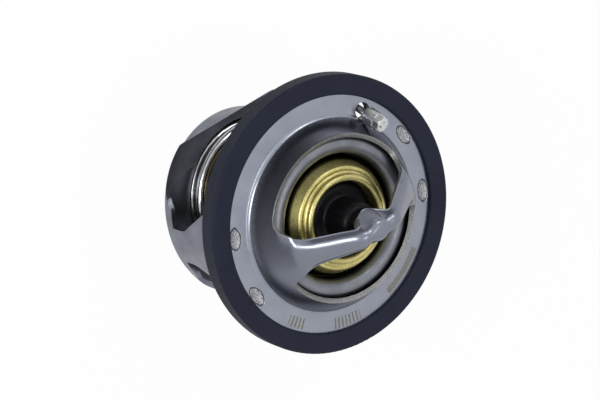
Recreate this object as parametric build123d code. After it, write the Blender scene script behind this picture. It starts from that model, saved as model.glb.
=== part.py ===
from build123d import *
import math
import os

# Engine coolant thermostat, millimetres. Z is the valve axis and points out through the bridge.
# Z = 0 is the front face of the flange, and X runs along the bridge and the two stirrup legs.
# Radii stack up from the boot: valve plate, seat, dome wall, flange and gasket each stand a width
# outside the last.

# Sheet and flange
SHEET = 1.1
SEAT_SHEET = 1.0
STIRRUP_SHEET = 1.0
VALVE_SHEET = 0.8
FLANGE_WIDTH = 6.1
SEAT_GAP = 0.05

# Dome and bridge of the upper frame
SEAT_SIDE = 3.2
WALL_RUN = 5.06
DOME_KNEE_Z = 9.04
BRIDGE_SHOULDER_RADIUS = 4.9
BRIDGE_TOP_Z = 18.4
WALL_FOOT_ROUND = 1.0
DOME_KNEE_ROUND = 3.0
BRIDGE_SHOULDER_ROUND = 4.0
WINDOW_SIDE = 0.4
WINDOW_END = 2.0
WINDOW_CORNER = 4.5
STRAP_HALF_WIDTH = 3.0
STRAP_ROUND = 1.6
ROUNDING_LENGTH = 4.2
ROUNDING_END_ROUND = 6.0
STRAP_FLANK = 1.3
STRAP_FLANK_END = 1.1

# Socket under the middle of the bridge
SOCKET_NOSE_RADIUS = 3.2
SOCKET_ROOT_RADIUS = 4.0
SOCKET_BASE_Z = 12.6
SOCKET_ROOT_Z = 17.0
SOCKET_DEPTH = 4.0
SOCKET_ROUND = 1.0

# Spot welds through the flange and the stirrup feet, their middles set in from the flange's edge
WELD_EDGE = 2.9
WELD_ANGLE = 16.6
WELD_LENGTH = 5.2
WELD_WIDTH = 2.8
WELD_DEPTH = 0.25

# Gasket: wall outside the flange, and how far each lip grips over it
GASKET_WALL = 3.0
GASKET_FRONT = 0.9
GASKET_BACK = 1.5
GASKET_FRONT_GRIP = 1.45
GASKET_BACK_GRIP = 0.4
GASKET_ROUND = 0.5

# Seat ring: the valve plate's land closes under its inner lip
SEAT_ROLL_RADIUS = 2.1
SEAT_TOP_Z = 4.0
SEAT_VALVE_GAP = 0.3

# Stirrup
LEG_EDGE = 3.4
LEG_HALF_WIDTH = 4.2
LEG_TOP_HALF_WIDTH = 9.6
LEG_FLARE_LOW_Z = -22.0
LEG_FLARE_HIGH_Z = -13.0
LEG_FLARE_ROUND = 4.0
FOOT_EDGE = 1.0
FOOT_HALF_WIDTH = 10.4
LEDGE_Z = -30.0
LEDGE_SIDE = 0.5
RIM_LINE = [(8.0, 2.7), (10.2, 0.8), (13.7, -0.2)]
RIM_END_HEIGHT = -0.8
CUP_DEPTH = 7.5
CUP_ROUND = 1.8
STIRRUP_BEND = 1.6
COLLAR_HEIGHT = 3.0
CASE_CLEARANCE = 0.08

# Valve plate: its land, steep wall and shoulder are set from the seat's lip, the rest from its rim
VALVE_WIDTH = 5.4
VALVE_LAP = 2.8
VALVE_EDGE_Z = -1.2
VALVE_FOOT_SET = 0.6
VALVE_SHOULDER_SET = 1.3
VALVE_SHOULDER_Z = 2.3
VALVE_RIDGE_SET = 2.8
VALVE_RIDGE_Z = 4.7
VALVE_GROOVE_SET = 1.8
VALVE_GROOVE_Z = 4.3
VALVE_FOOT_ROUND = 0.5
VALVE_SHOULDER_ROUND = 1.6
VALVE_RIDGE_ROUND = 0.7
VALVE_GROOVE_ROUND = 0.5
RIM_TOP_Z = 6.0
RIM_RISE_SET = 0.3

# Wax element
PISTON_RADIUS = 2.0
PISTON_FOOT_Z = -2.0
RUNNING_CLEARANCE = 0.05
NECK_RADIUS = 6.9
GUIDE_FLANGE_RADIUS = 8.4
GUIDE_FLANGE_TOP_Z = -1.4
GUIDE_FLANGE_HEIGHT = 2.0
CRIMP_SHEET = 0.9
CRIMP_LIP = 0.5
CRIMP_LIP_REACH = 1.0
CRIMP_ROUND = 0.6
CRIMP_LIP_ROUND = 0.4
GUIDE_SHOULDER_RADIUS = 5.6
GUIDE_SHOULDER_Z = 2.8
GUIDE_TUBE_RADIUS = 3.3
GUIDE_TUBE_Z = 8.0
GUIDE_BASE_Z = -7.2
FLUID_MOUTH_RADIUS = 4.6
FLUID_HEIGHT = 2.0
CASE_RADIUS = 6.4
CASE_WALL = 0.9
CASE_BASE_Z = -44.0
CASE_ROUND = 1.2
DIAPHRAGM_THICKNESS = 1.2
DISC_THICKNESS = 0.5
ELEMENT_GAP = 0.05

# Rubber boot round the piston
BOOT_RADIUS = 7.6
BOOT_SIDE_GAP = 0.5
BOOT_STEP_Z = 3.9
BOOT_NOSE_RADIUS = 4.4
BOOT_TOP_Z = 11.2
BOOT_ROUND = 1.4

# Main spring
WIRE_RADIUS = 1.2
SPRING_EDGE = 0.9
SPRING_SIDE_GAP = 0.6
SPRING_CLOSED_PITCH = 2.75
SPRING_CLOSED_TURNS = 2.5
SPRING_OPEN_TURNS = 5.0
SPRING_GRIND = 0.5
SPRING_START_ANGLE = 60.0

# Vent pin
PIN_HOLE_RADIUS = 1.82
PIN_SET = 2.0
PIN_ANGLE = -132.8
PIN_LEAN = 26.0
PIN_LEAN_TOWARDS = 98.0
PIN_STEM_RADIUS = 0.8
PIN_BARREL_RADIUS = 1.88
PIN_BARREL_LENGTH = 4.9
PIN_BARREL_START = 1.75
PIN_HEAD_RADIUS = 2.0
PIN_HEAD_LENGTH = 1.2
PIN_HEAD_START = -5.4
PIN_HEAD_CHAMFER = 0.5
PIN_TIP_LENGTH = 0.35
BARREL_FOOT_CHAMFER = 0.45
BARREL_TOP_CHAMFER = 0.35
BARREL_FLATS = 6
BARREL_FLAT_DEPTH = 0.25
BARREL_FLAT_WIDTH = 1.3
BARREL_FLAT_LENGTH = 1.8

STACK_Z = -SHEET - SEAT_SHEET
RIM_BORE_RADIUS = BOOT_RADIUS + BOOT_SIDE_GAP
SEAT_LIP_RADIUS = RIM_BORE_RADIUS + VALVE_WIDTH
SEAT_WALL_RADIUS = SEAT_LIP_RADIUS + 2 * SEAT_ROLL_RADIUS
WALL_FOOT_RADIUS = SEAT_WALL_RADIUS + SEAT_SIDE
FLANGE_RADIUS = WALL_FOOT_RADIUS + FLANGE_WIDTH
GASKET_RADIUS = FLANGE_RADIUS + GASKET_WALL
WINDOW_RADIUS = SEAT_WALL_RADIUS + WINDOW_SIDE
WINDOW_HALF_LENGTH = WINDOW_RADIUS - WINDOW_END
WELD_RADIUS = FLANGE_RADIUS - WELD_EDGE
FOOT_RADIUS = FLANGE_RADIUS - FOOT_EDGE
LEG_RADIUS = FLANGE_RADIUS - LEG_EDGE
PIN_CIRCLE_RADIUS = WALL_FOOT_RADIUS + PIN_SET
VALVE_RADIUS = SEAT_LIP_RADIUS + VALVE_LAP
SPRING_RADIUS = VALVE_RADIUS - SPRING_EDGE
CUP_RADIUS = SPRING_RADIUS + WIRE_RADIUS + SPRING_SIDE_GAP + STIRRUP_SHEET
LEDGE_HALF_WIDTH = CUP_RADIUS + LEDGE_SIDE
VALVE_FLANGE_Z = GUIDE_FLANGE_TOP_Z + CRIMP_LIP
CUP_FLOOR_Z = LEDGE_Z - CUP_DEPTH + STIRRUP_SHEET
SPRING_TOP_Z = VALVE_EDGE_Z - VALVE_SHEET
BORE_RADIUS = PISTON_RADIUS + RUNNING_CLEARANCE


def offset_line(points, distance):
    """Open line moved sideways, to its left, by distance, with mitred corners."""
    moved = []
    for i, (x, y) in enumerate(points):
        normals = []
        if i > 0:
            dx, dy = x - points[i - 1][0], y - points[i - 1][1]
            normals.append((-dy / math.hypot(dx, dy), dx / math.hypot(dx, dy)))
        if i < len(points) - 1:
            dx, dy = points[i + 1][0] - x, points[i + 1][1] - y
            normals.append((-dy / math.hypot(dx, dy), dx / math.hypot(dx, dy)))
        nx = sum(n[0] for n in normals) / len(normals)
        ny = sum(n[1] for n in normals) / len(normals)
        scale = distance / (nx * nx + ny * ny)
        moved.append((x + nx * scale, y + ny * scale))
    return moved


def outline(points, rounds):
    """Face in the XZ plane from corner points, with the named corners rounded."""
    face = make_face(Plane.XZ * Polyline(*points, close=True))
    for (x, z), radius in rounds:
        near = face.vertices().sort_by_distance(Vector(x, 0, z))[0]
        face = fillet([near], radius)
    return face


def turned(face):
    """Solid of revolution about Z of a face in the XZ plane."""
    return revolve(face, Axis.Z)


def ring(inner, outer, low, high):
    """Plain ring or disc about Z."""
    body = Pos(0, 0, (low + high) / 2) * Cylinder(outer, high - low)
    if inner > 0:
        body -= Pos(0, 0, (low + high) / 2) * Cylinder(inner, (high - low) * 1.2)
    return body


def dome_solid(drop):
    """Filled dome under the upper frame's front face moved down its normal by drop."""
    line = [
        (FLANGE_RADIUS, 0),
        (WALL_FOOT_RADIUS, 0),
        (WALL_FOOT_RADIUS - WALL_RUN, DOME_KNEE_Z),
        (BRIDGE_SHOULDER_RADIUS, BRIDGE_TOP_Z),
        (0, BRIDGE_TOP_Z),
    ]
    moved = offset_line(line, drop)
    floor = -2 * (SHEET + STRAP_FLANK)
    rounds = [
        (moved[1], WALL_FOOT_ROUND + drop),
        (moved[2], DOME_KNEE_ROUND - drop),
        (moved[3], BRIDGE_SHOULDER_ROUND - drop),
    ]
    corners = moved[:-1] + [(0, moved[-1][1]), (0, floor), (FLANGE_RADIUS, floor)]
    face = outline(corners, rounds)
    return turned(face)


def window_plan():
    """Plan of one window, beside the bridge's strap."""
    plan = Circle(WINDOW_RADIUS) & (Pos(0, STRAP_HALF_WIDTH + WINDOW_RADIUS / 2) * Rectangle(
        2 * WINDOW_HALF_LENGTH, WINDOW_RADIUS))
    return fillet(plan.vertices().group_by(Axis.Y)[0], WINDOW_CORNER)


def make_upper_frame():
    """Flange, dome and bridge, one pressing with two pierced windows."""
    high = 2 * BRIDGE_TOP_Z
    shell = dome_solid(0) - dome_solid(SHEET)
    shell -= Pos(0, 0, -SHEET - high / 2) * Cylinder(2 * FLANGE_RADIUS, high)
    window = extrude(window_plan(), high)
    windows = window + mirror(window, Plane.XZ)
    # The strap's edges are folded down as flanks, so its section is a shallow channel.
    band = dome_solid(SHEET / 2) - dome_solid(SHEET + STRAP_FLANK)
    flank_reach = WINDOW_HALF_LENGTH - STRAP_FLANK_END
    reach = Pos(0, 0, high / 2) * Box(2 * flank_reach, 2 * STRAP_HALF_WIDTH, high)
    hollow = Pos(0, 0, high / 2) * Box(3 * flank_reach, 2 * (STRAP_HALF_WIDTH - SHEET), high)
    flanks = (band & reach) - hollow
    frame = shell - windows + flanks
    frame -= strap_rounding()
    socket_top = BRIDGE_TOP_Z - SHEET / 4
    nose = [
        (0, SOCKET_BASE_Z),
        (SOCKET_NOSE_RADIUS, SOCKET_BASE_Z),
        (SOCKET_ROOT_RADIUS, SOCKET_ROOT_Z),
        (SOCKET_ROOT_RADIUS, socket_top),
        (0, socket_top),
    ]
    frame += turned(outline(nose, [(nose[1], SOCKET_ROUND), (nose[3], SOCKET_ROUND)]))
    frame -= Pos(0, 0, SOCKET_BASE_Z + SOCKET_DEPTH / 2) * Cylinder(BORE_RADIUS, SOCKET_DEPTH)
    frame -= pin_hole()
    for cut in weld_dents():
        frame -= cut
    return frame


def strap_rounding():
    """Cutter that rounds the bridge's long edges and runs out before the windows' corners."""
    high = 2 * BRIDGE_TOP_Z
    fall = (BRIDGE_TOP_Z - DOME_KNEE_Z) / (WALL_FOOT_RADIUS - WALL_RUN - BRIDGE_SHOULDER_RADIUS)
    start_x = BRIDGE_SHOULDER_RADIUS + ROUNDING_LENGTH
    start_z = BRIDGE_TOP_Z - fall * ROUNDING_LENGTH
    end_x = WINDOW_HALF_LENGTH
    corners = [
        (0, BRIDGE_TOP_Z),
        (BRIDGE_SHOULDER_RADIUS, BRIDGE_TOP_Z),
        (start_x, start_z),
        (end_x, start_z),
        (end_x, 0),
        (0, 0),
    ]
    form = turned(outline(corners, [
        (corners[1], BRIDGE_SHOULDER_ROUND), (corners[2], ROUNDING_END_ROUND)]))
    strap = form & (Pos(0, 0, high / 2) * Box(3 * end_x, 2 * STRAP_HALF_WIDTH, high))
    edges = [
        edge for edge in strap.edges()
        if edge.bounding_box().size.Y < SEAT_GAP and edge.center().Z > start_z - STRAP_ROUND
        and edge.bounding_box().size.X > SEAT_GAP]
    rounded = fillet(edges, STRAP_ROUND)
    return strap - rounded


def weld_dents():
    """Cutters for the four oval dents where the spot welds were pressed."""
    dents = []
    for side in (0, 180):
        for turn in (-WELD_ANGLE, WELD_ANGLE):
            oval = Rot(0, 0, side + turn) * Pos(WELD_RADIUS, 0, -WELD_DEPTH) * Rot(
                0, 0, 90) * SlotOverall(WELD_LENGTH, WELD_WIDTH)
            dents.append(extrude(oval, WELD_DEPTH * 2))
    return dents


def pin_hole():
    """Hole for the vent pin through the flange and the seat ring."""
    angle = math.radians(PIN_ANGLE)
    place = Pos(PIN_CIRCLE_RADIUS * math.cos(angle), PIN_CIRCLE_RADIUS * math.sin(angle), 0)
    return place * Cylinder(PIN_HOLE_RADIUS, 3 * (SHEET + SEAT_SHEET))


def pin_place():
    """Frame of the leaning vent pin: Z runs out along the pin from the hole's centre."""
    angle = math.radians(PIN_ANGLE)
    place = Pos(PIN_CIRCLE_RADIUS * math.cos(angle), PIN_CIRCLE_RADIUS * math.sin(angle),
                -SHEET / 2)
    return place * Rot(0, 0, PIN_LEAN_TOWARDS) * Rot(0, PIN_LEAN, 0)


def make_seat_ring():
    """Valve seat, a pressed ring whose rolled bead shows inside the windows."""
    roll_x = SEAT_LIP_RADIUS + SEAT_ROLL_RADIUS
    roll_z = SEAT_TOP_Z - SEAT_ROLL_RADIUS
    bead = Pos(roll_x, roll_z) * (Circle(SEAT_ROLL_RADIUS) - Circle(SEAT_ROLL_RADIUS - SEAT_SHEET))
    bead -= Pos(roll_x, roll_z - SEAT_ROLL_RADIUS) * Rectangle(
        3 * SEAT_ROLL_RADIUS, 2 * SEAT_ROLL_RADIUS)
    lip_drop = roll_z - VALVE_EDGE_Z - SEAT_VALVE_GAP
    lip = Pos(SEAT_LIP_RADIUS + SEAT_SHEET / 2, roll_z - lip_drop / 2) * Rectangle(
        SEAT_SHEET, lip_drop)
    wall_x = SEAT_WALL_RADIUS
    wall = Polyline(
        (wall_x, roll_z),
        (wall_x, -SHEET - SEAT_GAP),
        (FLANGE_RADIUS, -SHEET),
        (FLANGE_RADIUS, STACK_Z),
        (wall_x - SEAT_SHEET, STACK_Z),
        (wall_x - SEAT_SHEET, roll_z),
        close=True)
    section = bead + lip + make_face(wall)
    solid = revolve(Plane.XZ * section, Axis.Z)
    return solid - pin_hole()


def make_gasket():
    """Moulded rubber ring, split by a groove that grips the flange."""
    back_z = STACK_Z - GASKET_BACK
    front_lip = FLANGE_RADIUS - GASKET_FRONT_GRIP
    back_lip = FLANGE_RADIUS - GASKET_BACK_GRIP
    corners = [
        (front_lip, 0),
        (FLANGE_RADIUS, 0),
        (FLANGE_RADIUS, STACK_Z),
        (back_lip, STACK_Z),
        (back_lip, back_z),
        (GASKET_RADIUS, back_z),
        (GASKET_RADIUS, GASKET_FRONT),
        (front_lip, GASKET_FRONT),
    ]
    rounds = [
        ((GASKET_RADIUS, back_z), GASKET_ROUND),
        ((GASKET_RADIUS, GASKET_FRONT), GASKET_ROUND),
        ((front_lip, GASKET_FRONT), GASKET_ROUND),
    ]
    return turned(outline(corners, rounds))


def make_lower_frame():
    """Stirrup: spring cup, cut-back rim and two legs with feet, one pressing."""
    sheet = STIRRUP_SHEET
    floor_z = LEDGE_Z - CUP_DEPTH
    inner_leg = LEG_RADIUS - sheet
    hole = CASE_RADIUS + CASE_CLEARANCE
    outer_line = [
        (hole, CUP_FLOOR_Z + COLLAR_HEIGHT),
        (hole, floor_z),
        (CUP_RADIUS, floor_z),
        (CUP_RADIUS, LEDGE_Z),
        (LEG_RADIUS, LEDGE_Z),
        (LEG_RADIUS, STACK_Z - sheet),
        (FOOT_RADIUS, STACK_Z - sheet),
        (FOOT_RADIUS, STACK_Z),
        (inner_leg, STACK_Z),
        (inner_leg, LEDGE_Z + sheet),
        (CUP_RADIUS - sheet, LEDGE_Z + sheet),
        (CUP_RADIUS - sheet, CUP_FLOOR_Z),
        (hole + sheet, CUP_FLOOR_Z),
        (hole + sheet, CUP_FLOOR_Z + COLLAR_HEIGHT),
    ]
    rounds = [
        ((CUP_RADIUS, floor_z), CUP_ROUND),
        ((CUP_RADIUS - sheet, CUP_FLOOR_Z), CUP_ROUND - sheet),
        ((LEG_RADIUS, LEDGE_Z), STIRRUP_BEND),
        ((inner_leg, LEDGE_Z + sheet), STIRRUP_BEND - sheet),
        ((hole, floor_z), sheet),
    ]
    bowl = turned(outline(outer_line, rounds))
    # What stays of the tall wall: a low rim, and the two legs, which widen to their feet.
    rim = [(y, LEDGE_Z + sheet + height) for y, height in RIM_LINE]
    rim.append((LEDGE_HALF_WIDTH, LEDGE_Z + sheet + RIM_END_HEIGHT))
    low = floor_z - sheet
    base = extrude(make_face(Plane.YZ * Polyline(
        *rim, (LEDGE_HALF_WIDTH, low), (-LEDGE_HALF_WIDTH, low),
        *[(-y, z) for y, z in rim[::-1]], close=True)), 2 * FOOT_RADIUS, both=True)
    leg = make_face(Plane.YZ * Polyline(
        (-LEG_HALF_WIDTH, LEDGE_Z),
        (-LEG_HALF_WIDTH, LEG_FLARE_LOW_Z),
        (-LEG_TOP_HALF_WIDTH, LEG_FLARE_HIGH_Z),
        (-LEG_TOP_HALF_WIDTH, STACK_Z - 2 * sheet),
        (-FOOT_HALF_WIDTH, STACK_Z - sheet),
        (-FOOT_HALF_WIDTH, STACK_Z),
        (FOOT_HALF_WIDTH, STACK_Z),
        (FOOT_HALF_WIDTH, STACK_Z - sheet),
        (LEG_TOP_HALF_WIDTH, STACK_Z - 2 * sheet),
        (LEG_TOP_HALF_WIDTH, LEG_FLARE_HIGH_Z),
        (LEG_HALF_WIDTH, LEG_FLARE_LOW_Z),
        (LEG_HALF_WIDTH, LEDGE_Z),
        close=True))
    bends = [
        corner for corner in leg.vertices()
        if min(abs(corner.Z - LEG_FLARE_LOW_Z), abs(corner.Z - LEG_FLARE_HIGH_Z)) < SEAT_GAP]
    leg = fillet(bends, LEG_FLARE_ROUND)
    legs = extrude(leg, 2 * FOOT_RADIUS, both=True)
    return bowl & (base + legs)


def make_valve_plate():
    """Brass valve plate: sealing slope, ridge, groove and rolled rim round the element."""
    rim_middle = RIM_BORE_RADIUS + VALVE_SHEET
    line = [
        (VALVE_RADIUS, VALVE_EDGE_Z),
        (SEAT_LIP_RADIUS - VALVE_FOOT_SET, VALVE_EDGE_Z),
        (SEAT_LIP_RADIUS - VALVE_SHOULDER_SET, VALVE_SHOULDER_Z),
        (RIM_BORE_RADIUS + VALVE_RIDGE_SET, VALVE_RIDGE_Z),
        (RIM_BORE_RADIUS + VALVE_GROOVE_SET, VALVE_GROOVE_Z),
        (rim_middle + RIM_RISE_SET, RIM_TOP_Z - VALVE_SHEET),
    ]
    under = offset_line(line, VALVE_SHEET)
    slope = outline(line + under[::-1], [
        (line[1], VALVE_FOOT_ROUND),
        (line[2], VALVE_SHOULDER_ROUND),
        (line[3], VALVE_RIDGE_ROUND),
        (line[4], VALVE_GROOVE_ROUND),
        (under[1], VALVE_FOOT_ROUND + VALVE_SHEET),
        (under[2], VALVE_SHOULDER_ROUND - VALVE_SHEET),
        (under[4], VALVE_GROOVE_ROUND + VALVE_SHEET / 2),
    ])
    rim = Plane.XZ * (Pos(rim_middle, RIM_TOP_Z - VALVE_SHEET) * Circle(VALVE_SHEET))
    wall_height = RIM_TOP_Z - VALVE_SHEET - VALVE_FLANGE_Z
    wall = Plane.XZ * (Pos(RIM_BORE_RADIUS + VALVE_SHEET / 2, VALVE_FLANGE_Z + wall_height / 2)
                       * Rectangle(VALVE_SHEET, wall_height))
    flange = Plane.XZ * (Pos((NECK_RADIUS + RIM_BORE_RADIUS + VALVE_SHEET) / 2,
                             VALVE_FLANGE_Z + VALVE_SHEET / 2)
                         * Rectangle(RIM_BORE_RADIUS + VALVE_SHEET - NECK_RADIUS, VALVE_SHEET))
    return turned(slope) + turned(rim) + turned(wall) + turned(flange)


def make_guide():
    """Turned brass guide: carries the valve plate and the piston, with a cone for the fluid."""
    flange_low = GUIDE_FLANGE_TOP_Z - GUIDE_FLANGE_HEIGHT
    spigot = CASE_RADIUS - CASE_WALL - ELEMENT_GAP
    corners = [
        (BORE_RADIUS, GUIDE_TUBE_Z),
        (BORE_RADIUS, GUIDE_BASE_Z + FLUID_HEIGHT),
        (FLUID_MOUTH_RADIUS, GUIDE_BASE_Z),
        (spigot, GUIDE_BASE_Z),
        (spigot, flange_low),
        (GUIDE_FLANGE_RADIUS, flange_low),
        (GUIDE_FLANGE_RADIUS, GUIDE_FLANGE_TOP_Z),
        (NECK_RADIUS, GUIDE_FLANGE_TOP_Z),
        (NECK_RADIUS, VALVE_FLANGE_Z + VALVE_SHEET),
        (GUIDE_SHOULDER_RADIUS, VALVE_FLANGE_Z + VALVE_SHEET),
        (GUIDE_SHOULDER_RADIUS, GUIDE_SHOULDER_Z),
        (GUIDE_TUBE_RADIUS, GUIDE_SHOULDER_Z),
        (GUIDE_TUBE_RADIUS, GUIDE_TUBE_Z),
    ]
    return turned(outline(corners, []))


def make_case():
    """Drawn brass cup that holds the wax, its rim crimped over the guide's flange."""
    flange_low = GUIDE_FLANGE_TOP_Z - GUIDE_FLANGE_HEIGHT
    collar = GUIDE_FLANGE_RADIUS + CRIMP_SHEET
    inner = CASE_RADIUS - CASE_WALL
    corners = [
        (0, CASE_BASE_Z),
        (CASE_RADIUS, CASE_BASE_Z),
        (CASE_RADIUS, flange_low - CRIMP_SHEET),
        (collar, flange_low - CRIMP_SHEET),
        (collar, VALVE_FLANGE_Z),
        (GUIDE_FLANGE_RADIUS - CRIMP_LIP_REACH, VALVE_FLANGE_Z),
        (GUIDE_FLANGE_RADIUS - CRIMP_LIP_REACH, GUIDE_FLANGE_TOP_Z),
        (GUIDE_FLANGE_RADIUS, GUIDE_FLANGE_TOP_Z),
        (GUIDE_FLANGE_RADIUS, flange_low),
        (inner, flange_low),
        (inner, CASE_BASE_Z + CASE_WALL),
        (0, CASE_BASE_Z + CASE_WALL),
    ]
    rounds = [
        ((CASE_RADIUS, CASE_BASE_Z), CASE_ROUND),
        ((collar, flange_low - CRIMP_SHEET), CRIMP_ROUND),
        ((collar, VALVE_FLANGE_Z), CRIMP_LIP_ROUND),
        ((CASE_RADIUS, flange_low - CRIMP_SHEET), CRIMP_ROUND),
    ]
    return turned(outline(corners, rounds))


def make_boot():
    """Moulded rubber boot over the guide, with a lip that wipes the piston."""
    gap = ELEMENT_GAP
    foot_z = VALVE_FLANGE_Z + VALVE_SHEET + gap
    corners = [
        (GUIDE_SHOULDER_RADIUS + gap, foot_z),
        (BOOT_RADIUS, foot_z),
        (BOOT_RADIUS, BOOT_STEP_Z),
        (BOOT_NOSE_RADIUS, BOOT_STEP_Z),
        (BOOT_NOSE_RADIUS, BOOT_TOP_Z),
        (BORE_RADIUS, BOOT_TOP_Z),
        (BORE_RADIUS, GUIDE_TUBE_Z + gap),
        (GUIDE_TUBE_RADIUS + gap, GUIDE_TUBE_Z + gap),
        (GUIDE_TUBE_RADIUS + gap, GUIDE_SHOULDER_Z + gap),
        (GUIDE_SHOULDER_RADIUS + gap, GUIDE_SHOULDER_Z + gap),
    ]
    rounds = [
        ((BOOT_RADIUS, BOOT_STEP_Z), BOOT_ROUND),
        ((BOOT_NOSE_RADIUS, BOOT_STEP_Z), BOOT_ROUND / 2),
        ((BOOT_NOSE_RADIUS, BOOT_TOP_Z), BOOT_ROUND),
    ]
    return turned(outline(corners, rounds))


def make_fluid():
    """Charge between the plug and the diaphragm, a cone in the guide's foot."""
    top = GUIDE_BASE_Z + FLUID_HEIGHT
    corners = [(0, top), (BORE_RADIUS, top), (FLUID_MOUTH_RADIUS, GUIDE_BASE_Z), (0, GUIDE_BASE_Z)]
    return turned(outline(corners, []))


def make_spring():
    """Compression spring of round wire: closed lower coils, open coils above, ground ends."""
    wire = WIRE_RADIUS
    start_z = CUP_FLOOR_Z + wire - SPRING_GRIND
    closed = SPRING_CLOSED_PITCH * SPRING_CLOSED_TURNS
    opened = SPRING_TOP_Z - wire + SPRING_GRIND - start_z - closed
    lower = Helix(SPRING_CLOSED_PITCH, closed, SPRING_RADIUS)
    upper = Helix(opened / SPRING_OPEN_TURNS, opened, SPRING_RADIUS)
    upper = Pos(0, 0, closed) * Rot(0, 0, 360 * SPRING_CLOSED_TURNS) * upper
    section = Plane(lower @ 0, z_dir=lower % 0) * Circle(wire)
    spring = sweep(section, path=Wire([lower.edge(), upper.edge()]), is_frenet=True,
                   transition=Transition.ROUND)
    spring = Pos(0, 0, start_z) * Rot(0, 0, SPRING_START_ANGLE) * spring
    depth = SPRING_RADIUS / 2
    spring -= Pos(0, 0, CUP_FLOOR_Z - depth / 2) * Cylinder(2 * SPRING_RADIUS, depth)
    spring -= Pos(0, 0, SPRING_TOP_Z + depth / 2) * Cylinder(2 * SPRING_RADIUS, depth)
    return spring


def make_pin():
    """Loose vent pin: stem and inner head, turned in one piece."""
    stem_top = PIN_BARREL_START + PIN_BARREL_LENGTH + PIN_TIP_LENGTH
    stem = Pos(0, 0, (PIN_HEAD_START + stem_top) / 2) * Cylinder(
        PIN_STEM_RADIUS, stem_top - PIN_HEAD_START)
    head = Pos(0, 0, PIN_HEAD_START + PIN_HEAD_LENGTH / 2) * Cylinder(
        PIN_HEAD_RADIUS, PIN_HEAD_LENGTH)
    head = chamfer(head.edges().filter_by(GeomType.CIRCLE).sort_by(Axis.Z)[-1:], PIN_HEAD_CHAMFER)
    return pin_place() * (stem + head)


def make_pin_barrel():
    """Outer barrel of the vent pin, crimped on the stem."""
    barrel = Pos(0, 0, PIN_BARREL_START + PIN_BARREL_LENGTH / 2) * Cylinder(
        PIN_BARREL_RADIUS, PIN_BARREL_LENGTH)
    foot = barrel.edges().filter_by(GeomType.CIRCLE).sort_by(Axis.Z)[:1]
    barrel = chamfer(foot, BARREL_FOOT_CHAMFER)
    top = barrel.edges().filter_by(GeomType.CIRCLE).sort_by(Axis.Z)[-1:]
    barrel = chamfer(top, BARREL_TOP_CHAMFER)
    barrel -= Pos(0, 0, PIN_BARREL_START + PIN_BARREL_LENGTH / 2) * Cylinder(
        PIN_STEM_RADIUS, PIN_BARREL_LENGTH)
    block = Box(PIN_BARREL_RADIUS, BARREL_FLAT_WIDTH, BARREL_FLAT_LENGTH)
    block_x = PIN_BARREL_RADIUS * 1.5 - BARREL_FLAT_DEPTH
    block_z = PIN_BARREL_START + PIN_BARREL_LENGTH - BARREL_FLAT_LENGTH / 2
    for k in range(BARREL_FLATS):
        barrel -= Rot(0, 0, 360 / BARREL_FLATS * k) * Pos(block_x, 0, block_z) * block
    return pin_place() * barrel


case_inner = CASE_RADIUS - CASE_WALL - ELEMENT_GAP
diaphragm_top = GUIDE_BASE_Z - ELEMENT_GAP
diaphragm_low = diaphragm_top - DIAPHRAGM_THICKNESS
disc_top = PISTON_FOOT_Z - ELEMENT_GAP
disc_low = disc_top - DISC_THICKNESS
plug_low = GUIDE_BASE_Z + FLUID_HEIGHT + ELEMENT_GAP

nodes = {
    "upper_frame": make_upper_frame(),
    "seat_ring": make_seat_ring(),
    "gasket": make_gasket(),
    "lower_frame": make_lower_frame(),
    "valve_plate": make_valve_plate(),
    "element_guide": make_guide(),
    "element_case": make_case(),
    "piston_boot": make_boot(),
    "transfer_fluid": make_fluid(),
    "diaphragm": ring(0, case_inner, diaphragm_low, diaphragm_top),
    "wax_pellet": ring(0, case_inner, CASE_BASE_Z + CASE_WALL + ELEMENT_GAP,
                       diaphragm_low - ELEMENT_GAP),
    "piston": ring(0, PISTON_RADIUS, PISTON_FOOT_Z,
                   SOCKET_BASE_Z + SOCKET_DEPTH - RUNNING_CLEARANCE),
    "backup_disc": ring(0, PISTON_RADIUS, disc_low, disc_top),
    "rubber_plug": ring(0, PISTON_RADIUS, plug_low, disc_low - ELEMENT_GAP),
    "main_spring": make_spring(),
    "vent_pin": make_pin(),
    "vent_pin_barrel": make_pin_barrel(),
}

os.makedirs("parts", exist_ok=True)
for name, shape in nodes.items():
    export_step(shape, "parts/" + name + ".step")
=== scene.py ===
import math

import bpy
from mathutils import Matrix, Vector


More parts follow.
